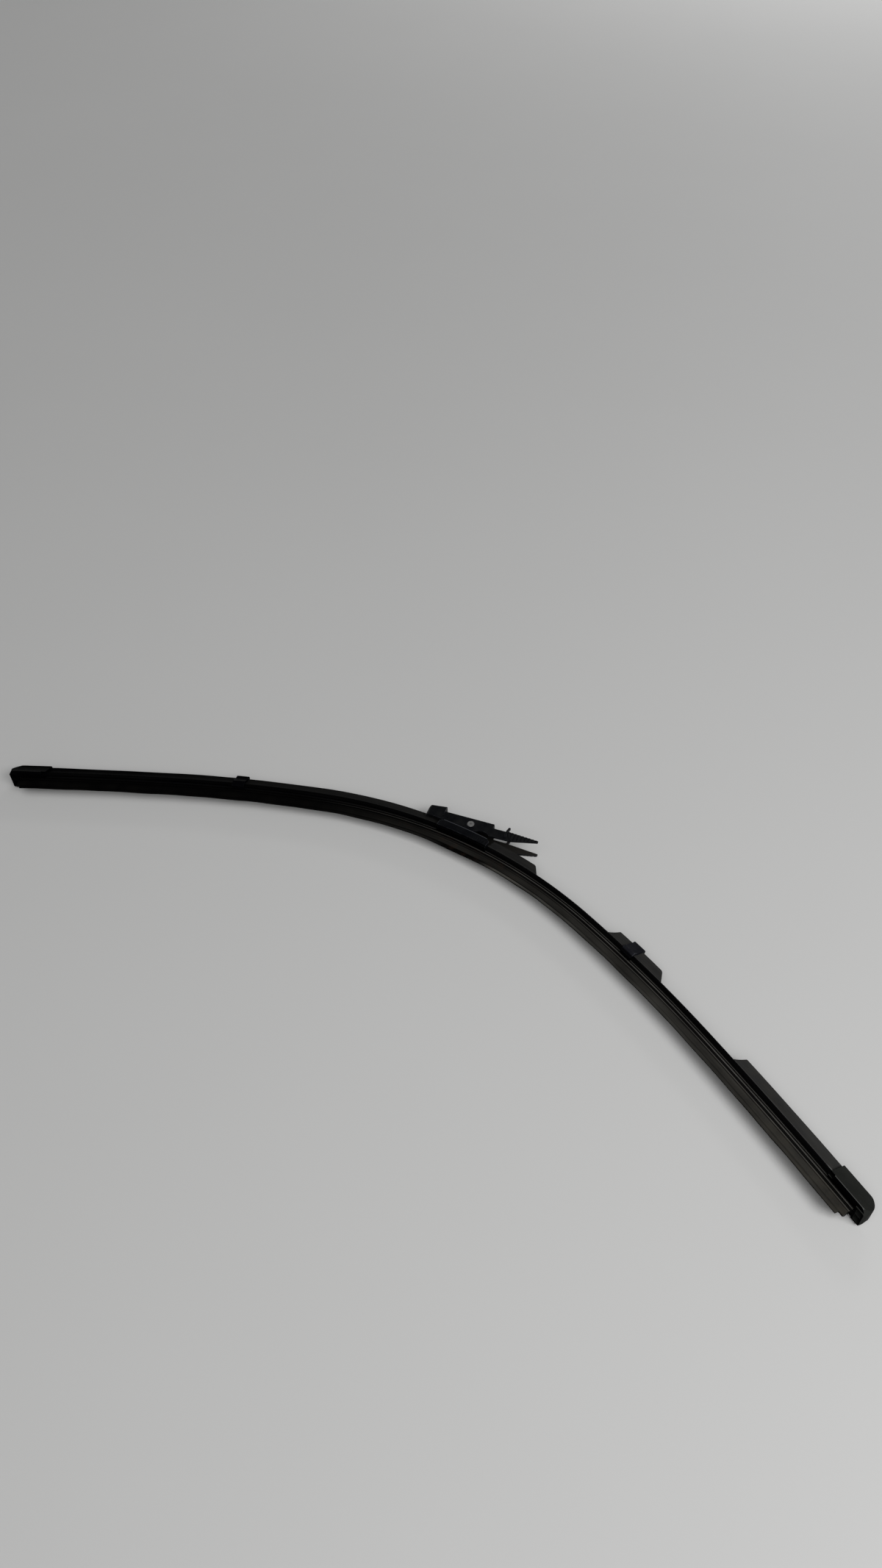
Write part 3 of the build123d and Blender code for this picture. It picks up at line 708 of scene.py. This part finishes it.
for side, place in (("left", -cap_place), ("right", cap_place)):
    cap = eased(f"{side}_end_cap", f"end_cap_{side}", cap_edge)
    cap.data.materials.append(cap_finish)
    # Painted shade on the faces towards the lip.
    shade_underside(cap, underside_shade_finish, place)
    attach(cap, "blade")
    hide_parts(f"end_cap_{side}")

# Rail clips
# Small snap-on collars that hold the spoiler down to the rails halfway along each side.
# They are moulded in a bluish black. The right one is hazy above its skirt, partly as painted light, and its
# edge lines are wear and painted highlight.
clip_place = 0.1465
clip_edge = 0.00018
clip_skirt, clip_bend, clip_shade_share = -0.0019, -0.0011, 0.05
clip_black = (0.0009, 0.0009, 0.0012, 1.0)
clip_haze_and_light = (0.0080, 0.0083, 0.0108, 1.0)
clip_dust = (0.024, 0.0245, 0.028, 1.0)
clip_wear_and_highlight, clip_wear_and_highlight_share = (0.20, 0.21, 0.23, 1.0), 0.9
clip_roughness, clip_relief = (0.28, 0.42), 0.000012

clip_finish, tree, shader = new_finish("clip_plastic", IOR=1.04)
skin = use(tree, grain, Grain=4200.0, Cloud=150.0)
wear_and_highlight = use(tree, edges_worn_and_lit, Radius=0.0006, Patch=380.0, Width=0.0060)["Mask"]
dirt = use(tree, dust, Amount=0.4, Patch=160.0, Speck=1300.0)["Mask"]
clip_middle, clip_crest = station(clip_place)
from_clip = arrow(tree, "SUBTRACT", place_on(tree), clip_middle)
above = arrow(tree, "DOT_PRODUCT", from_clip, clip_crest)
# Painted light and shade: haze only above the bend of the right clip, while its skirt and the whole left clip
# stay dark. Edge lines there are wear and painted highlight.
clip_haze_and_light_share = ramp(tree, above, clip_skirt, clip_bend, clip_shade_share, 1.0)
colour = tint(tree, clip_haze_and_light_share, clip_black, clip_haze_and_light)
colour = tint(tree, times(tree, dirt, clip_haze_and_light_share), colour, clip_dust)
colour = tint(tree, times(tree, wear_and_highlight, clip_haze_and_light_share, clip_wear_and_highlight_share), colour, clip_wear_and_highlight)
dress(tree, shader, colour, between(tree, skin["Cloud"], clip_roughness), skin["Height"], clip_relief)

for side in ("left", "right"):
    clip = eased(f"{side}_rail_clip", f"rail_clip_{side}", clip_edge)
    clip.data.materials.append(clip_finish)
    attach(clip, "blade")
    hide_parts(f"rail_clip_{side}")

# Connector base
# A trough moulded in glass-filled plastic, crimped to the rails at the blade's middle.
# Its tower carries the pivot pin, and the rims of the trough carry a pale line, partly rubbed by the adaptor
# and partly a painted highlight.
trough_edge = 0.00018
rim_height, rim_line, rim_half, rim_wear_and_highlight = 0.0036, 0.0005, 0.0080, 0.4
grooves_start, grooves_end = 0.0108, 0.0192
trough_wear_and_highlight_limits = (0.6, 0.12)
connector_black = (0.0019, 0.0022, 0.0032, 1.0)
connector_wear_and_highlight = (0.13, 0.135, 0.15, 1.0)
connector_roughness, connector_relief = (0.34, 0.52), 0.00002

connector_finish, tree, shader = new_finish("connector_plastic", IOR=1.18)
skin = use(tree, grain, Grain=2600.0, Cloud=120.0)
wear_and_highlight = use(tree, edges_worn_and_lit, Radius=0.0005, Patch=300.0, Width=0.0070)["Mask"]
dirt = use(tree, dust, Amount=0.10, Patch=130.0, Speck=1200.0)["Mask"]
bow_centre = (middle.x, middle.y - centre_radius, middle.z)
from_bow = split(tree, arrow(tree, "SUBTRACT", place_on(tree), bow_centre))
flat = add(tree, "ShaderNodeCombineXYZ", {"X": from_bow["X"], "Y": from_bow["Y"]}).outputs[0]
rim_top = centre_radius + rim_height
# Wear and painted highlight: a pale line at the top of the trough's rims, and weaker edge lines over the
# grooves.
rim_wear_and_highlight_line = times(tree, ramp(tree, arrow(tree, "LENGTH", flat), rim_top - rim_line, rim_top - rim_line / 2),
            reckon(tree, "GREATER_THAN", reckon(tree, "ABSOLUTE", from_bow["Z"]), rim_half))
grooved = times(tree, reckon(tree, "GREATER_THAN", from_bow["X"], grooves_start),
                reckon(tree, "LESS_THAN", from_bow["X"], grooves_end))
wear_and_highlight = times(tree, wear_and_highlight, between(tree, grooved, trough_wear_and_highlight_limits))
wear_and_highlight = reckon(tree, "MAXIMUM", wear_and_highlight, times(tree, rim_wear_and_highlight_line, rim_wear_and_highlight))
colour = tint(tree, wear_and_highlight, tint(tree, dirt, connector_black, cap_dust), connector_wear_and_highlight)
dress(tree, shader, colour, between(tree, skin["Cloud"], connector_roughness), skin["Height"],
      connector_relief)

connector = eased("connector_trough", "connector_base", trough_edge)
connector.data.materials.append(connector_finish)
# Painted shade on the faces towards the lip.
shade_underside(connector, underside_shade_finish, 0.0)
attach(connector, "blade")
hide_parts("connector_base")

# Pivot pin
# A turned steel rivet through the tower, with a wider journal at each end for the adaptor.
# Its faces keep the lathe's rings and a little grime round the rim.
pin_steel = (0.30, 0.30, 0.295, 1.0)
pin_grime, grime_limits = (0.06, 0.059, 0.056, 1.0), (0.3, 1.0)
ring_pitch = 0.00022
grime_start, grime_full = 0.0021, 0.0027
dimple_full, dimple_end, dimple_share = 0.0006, 0.0012, 0.6
pin_roughness, pin_relief = (0.60, 0.80), 0.00001

pin_finish, tree, shader = new_finish("turned_steel", Metallic=1.0)
from_axis = arrow(tree, "SUBTRACT", place_on(tree), tuple(pivot))
reach = arrow(tree, "LENGTH", arrow(tree, "MULTIPLY", from_axis, (1, 1, 0)))
rings = reckon(tree, "SINE", times(tree, reach, 2 * pi / ring_pitch))
patina = use(tree, grain, Grain=3000.0, Cloud=700.0)["Cloud"]
grimy = reckon(tree, "MAXIMUM", ramp(tree, reach, grime_start, grime_full),
               ramp(tree, reach, dimple_full, dimple_end, dimple_share, 0.0))
grime = times(tree, grimy, between(tree, patina, grime_limits))
dress(tree, shader, tint(tree, grime, pin_steel, pin_grime), between(tree, patina, pin_roughness), rings,
      pin_relief)
frame["nodes"]["pivot_pin"].data.materials.clear()
frame["nodes"]["pivot_pin"].data.materials.append(pin_finish)

# Arm adaptor
# One hollow moulding: a hood over the fin, two side plates that ride on the pin, and two sprung tabs.
# The wiper arm slides over it and the tabs snap in. Its corners and tab teeth are rubbed by that, and their
# pale edge lines are partly painted highlight.
adaptor_edge = 0.00016
adaptor_black, adaptor_wear_and_highlight = (0.0022, 0.0025, 0.0034, 1.0), 0.3
tab_dust, tab_low, tab_high = (0.0130, 0.0122, 0.0108, 1.0), 0.004, 0.002
upward_low, upward_high = 0.3, 0.7
adaptor_roughness, adaptor_relief = (0.36, 0.54), 0.00002

adaptor_finish, tree, shader = new_finish("adaptor_plastic", IOR=1.18)
skin = use(tree, grain, Grain=3000.0, Cloud=110.0)
wear_and_highlight = use(tree, edges_worn_and_lit, Radius=0.00035, Patch=340.0)["Mask"]
dirt = use(tree, dust, Amount=0.18, Patch=140.0, Speck=1300.0)["Mask"]
upward = ramp(tree, split(tree, facing_on(tree))["Z"], upward_low, upward_high)
below = ramp(tree, split(tree, place_on(tree))["Z"], pivot.z - tab_low, pivot.z - tab_high, 1.0, 0.0)
colour = tint(tree, dirt, adaptor_black, cap_dust)
colour = tint(tree, times(tree, below, upward), colour, tab_dust)
# Edge lines: wear and painted highlight.
colour = tint(tree, times(tree, wear_and_highlight, adaptor_wear_and_highlight), colour, connector_wear_and_highlight)
dress(tree, shader, colour, between(tree, skin["Cloud"], adaptor_roughness), skin["Height"], adaptor_relief)

adaptor = eased("squeeze_tab_adaptor", "arm_adaptor", adaptor_edge)
adaptor.data.materials.append(adaptor_finish)
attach(adaptor, "adaptor")
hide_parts("arm_adaptor")

# Floor, light and camera
# A plain pale floor under a broad overhead light, with soft lamps on the right and at the far side,
# in a room that is dim on the left. The camera looks down on the blade from the side of its lip.
floor_half = 6.0
floor_grey, floor_pale = (0.56, 0.56, 0.555, 1.0), (0.58, 0.58, 0.575, 1.0)
floor_cloud = 3.0
room_dim, room_bright, ceiling_share = 0.05, 0.30, 0.60
bright_way, dim_end, bright_end = (0.95, -0.30, 0.0), -0.5, 0.9
ceiling_start, ceiling_full = 0.1, 0.8
overhead_way, overhead_power, overhead_spread = (0.20, -0.45, 0.87), 1.3, radians(60)
lamps = {
    "side_lamp": ((1.45, -0.35, 1.35), 1.0, 26.0),
    "far_lamp": ((-0.40, 3.40, 1.50), 1.2, 24.0),
}
image_height = 2133
focal_length_pixels = 1550
sensor = 36.0
nearest, farthest = 0.01, 50.0
camera_place = Vector((0.2767, -0.3903, 0.6211))
camera_heading, camera_pitch, camera_roll = radians(33.52), radians(46.71), radians(-2.3)

floor_mesh = bpy.data.meshes.new("floor")
floor_mesh.from_pydata([(-floor_half, -floor_half, 0), (floor_half, -floor_half, 0),
                        (floor_half, floor_half, 0), (-floor_half, floor_half, 0)], [], [(0, 1, 2, 3)])
floor = bpy.data.objects.new("floor", floor_mesh)
bpy.context.scene.collection.objects.link(floor)
floor_finish, tree, shader = new_finish("pale_floor", Roughness=0.6, IOR=1.3)
colour = tint(tree, speckle(tree, place_on(tree), floor_cloud), floor_grey, floor_pale)
tree.links.new(colour, shader.inputs["Base Color"])
floor_mesh.materials.append(floor_finish)

world = bpy.data.worlds.new("room")
world.use_nodes = True
room = world.node_tree
way = add(room, "ShaderNodeTexCoord").outputs["Generated"]
rightwards = arrow(room, "DOT_PRODUCT", way, bright_way)
sideways = ramp(room, rightwards, dim_end, bright_end, room_dim, room_bright)
upwards = ramp(room, split(room, way)["Z"], ceiling_start, ceiling_full, 1.0, ceiling_share)
room.links.new(times(room, sideways, upwards), room.nodes["Background"].inputs["Strength"])
room.nodes["Background"].inputs["Color"].default_value = (1.0, 1.0, 1.0, 1.0)
bpy.context.scene.world = world
bpy.context.scene.view_settings.view_transform = "Standard"

overhead = bpy.data.lights.new("overhead", "SUN")
overhead.energy, overhead.angle = overhead_power, overhead_spread
overhead_holder = bpy.data.objects.new("overhead", overhead)
overhead_holder.rotation_euler = Vector(overhead_way).to_track_quat("Z", "Y").to_euler()
bpy.context.scene.collection.objects.link(overhead_holder)

for name, (place, size, power) in lamps.items():
    lamp = bpy.data.lights.new(name, "AREA")
    lamp.size, lamp.energy = size, power
    holder = bpy.data.objects.new(name, lamp)
    holder.location = place
    bpy.context.scene.collection.objects.link(holder)

camera = bpy.data.cameras.new("camera")
camera.sensor_width = sensor
camera.lens = sensor * focal_length_pixels / image_height
camera.clip_start, camera.clip_end = nearest, farthest
viewer = bpy.data.objects.new("camera", camera)
bpy.context.scene.collection.objects.link(viewer)
viewer.matrix_world = (
    Matrix.Translation(camera_place)
    @ Matrix.Rotation(camera_heading, 4, "Z")
    @ Matrix.Rotation(pi / 2 - camera_pitch, 4, "X")
    @ Matrix.Rotation(camera_roll, 4, "Z")
)
bpy.context.scene.camera = viewer
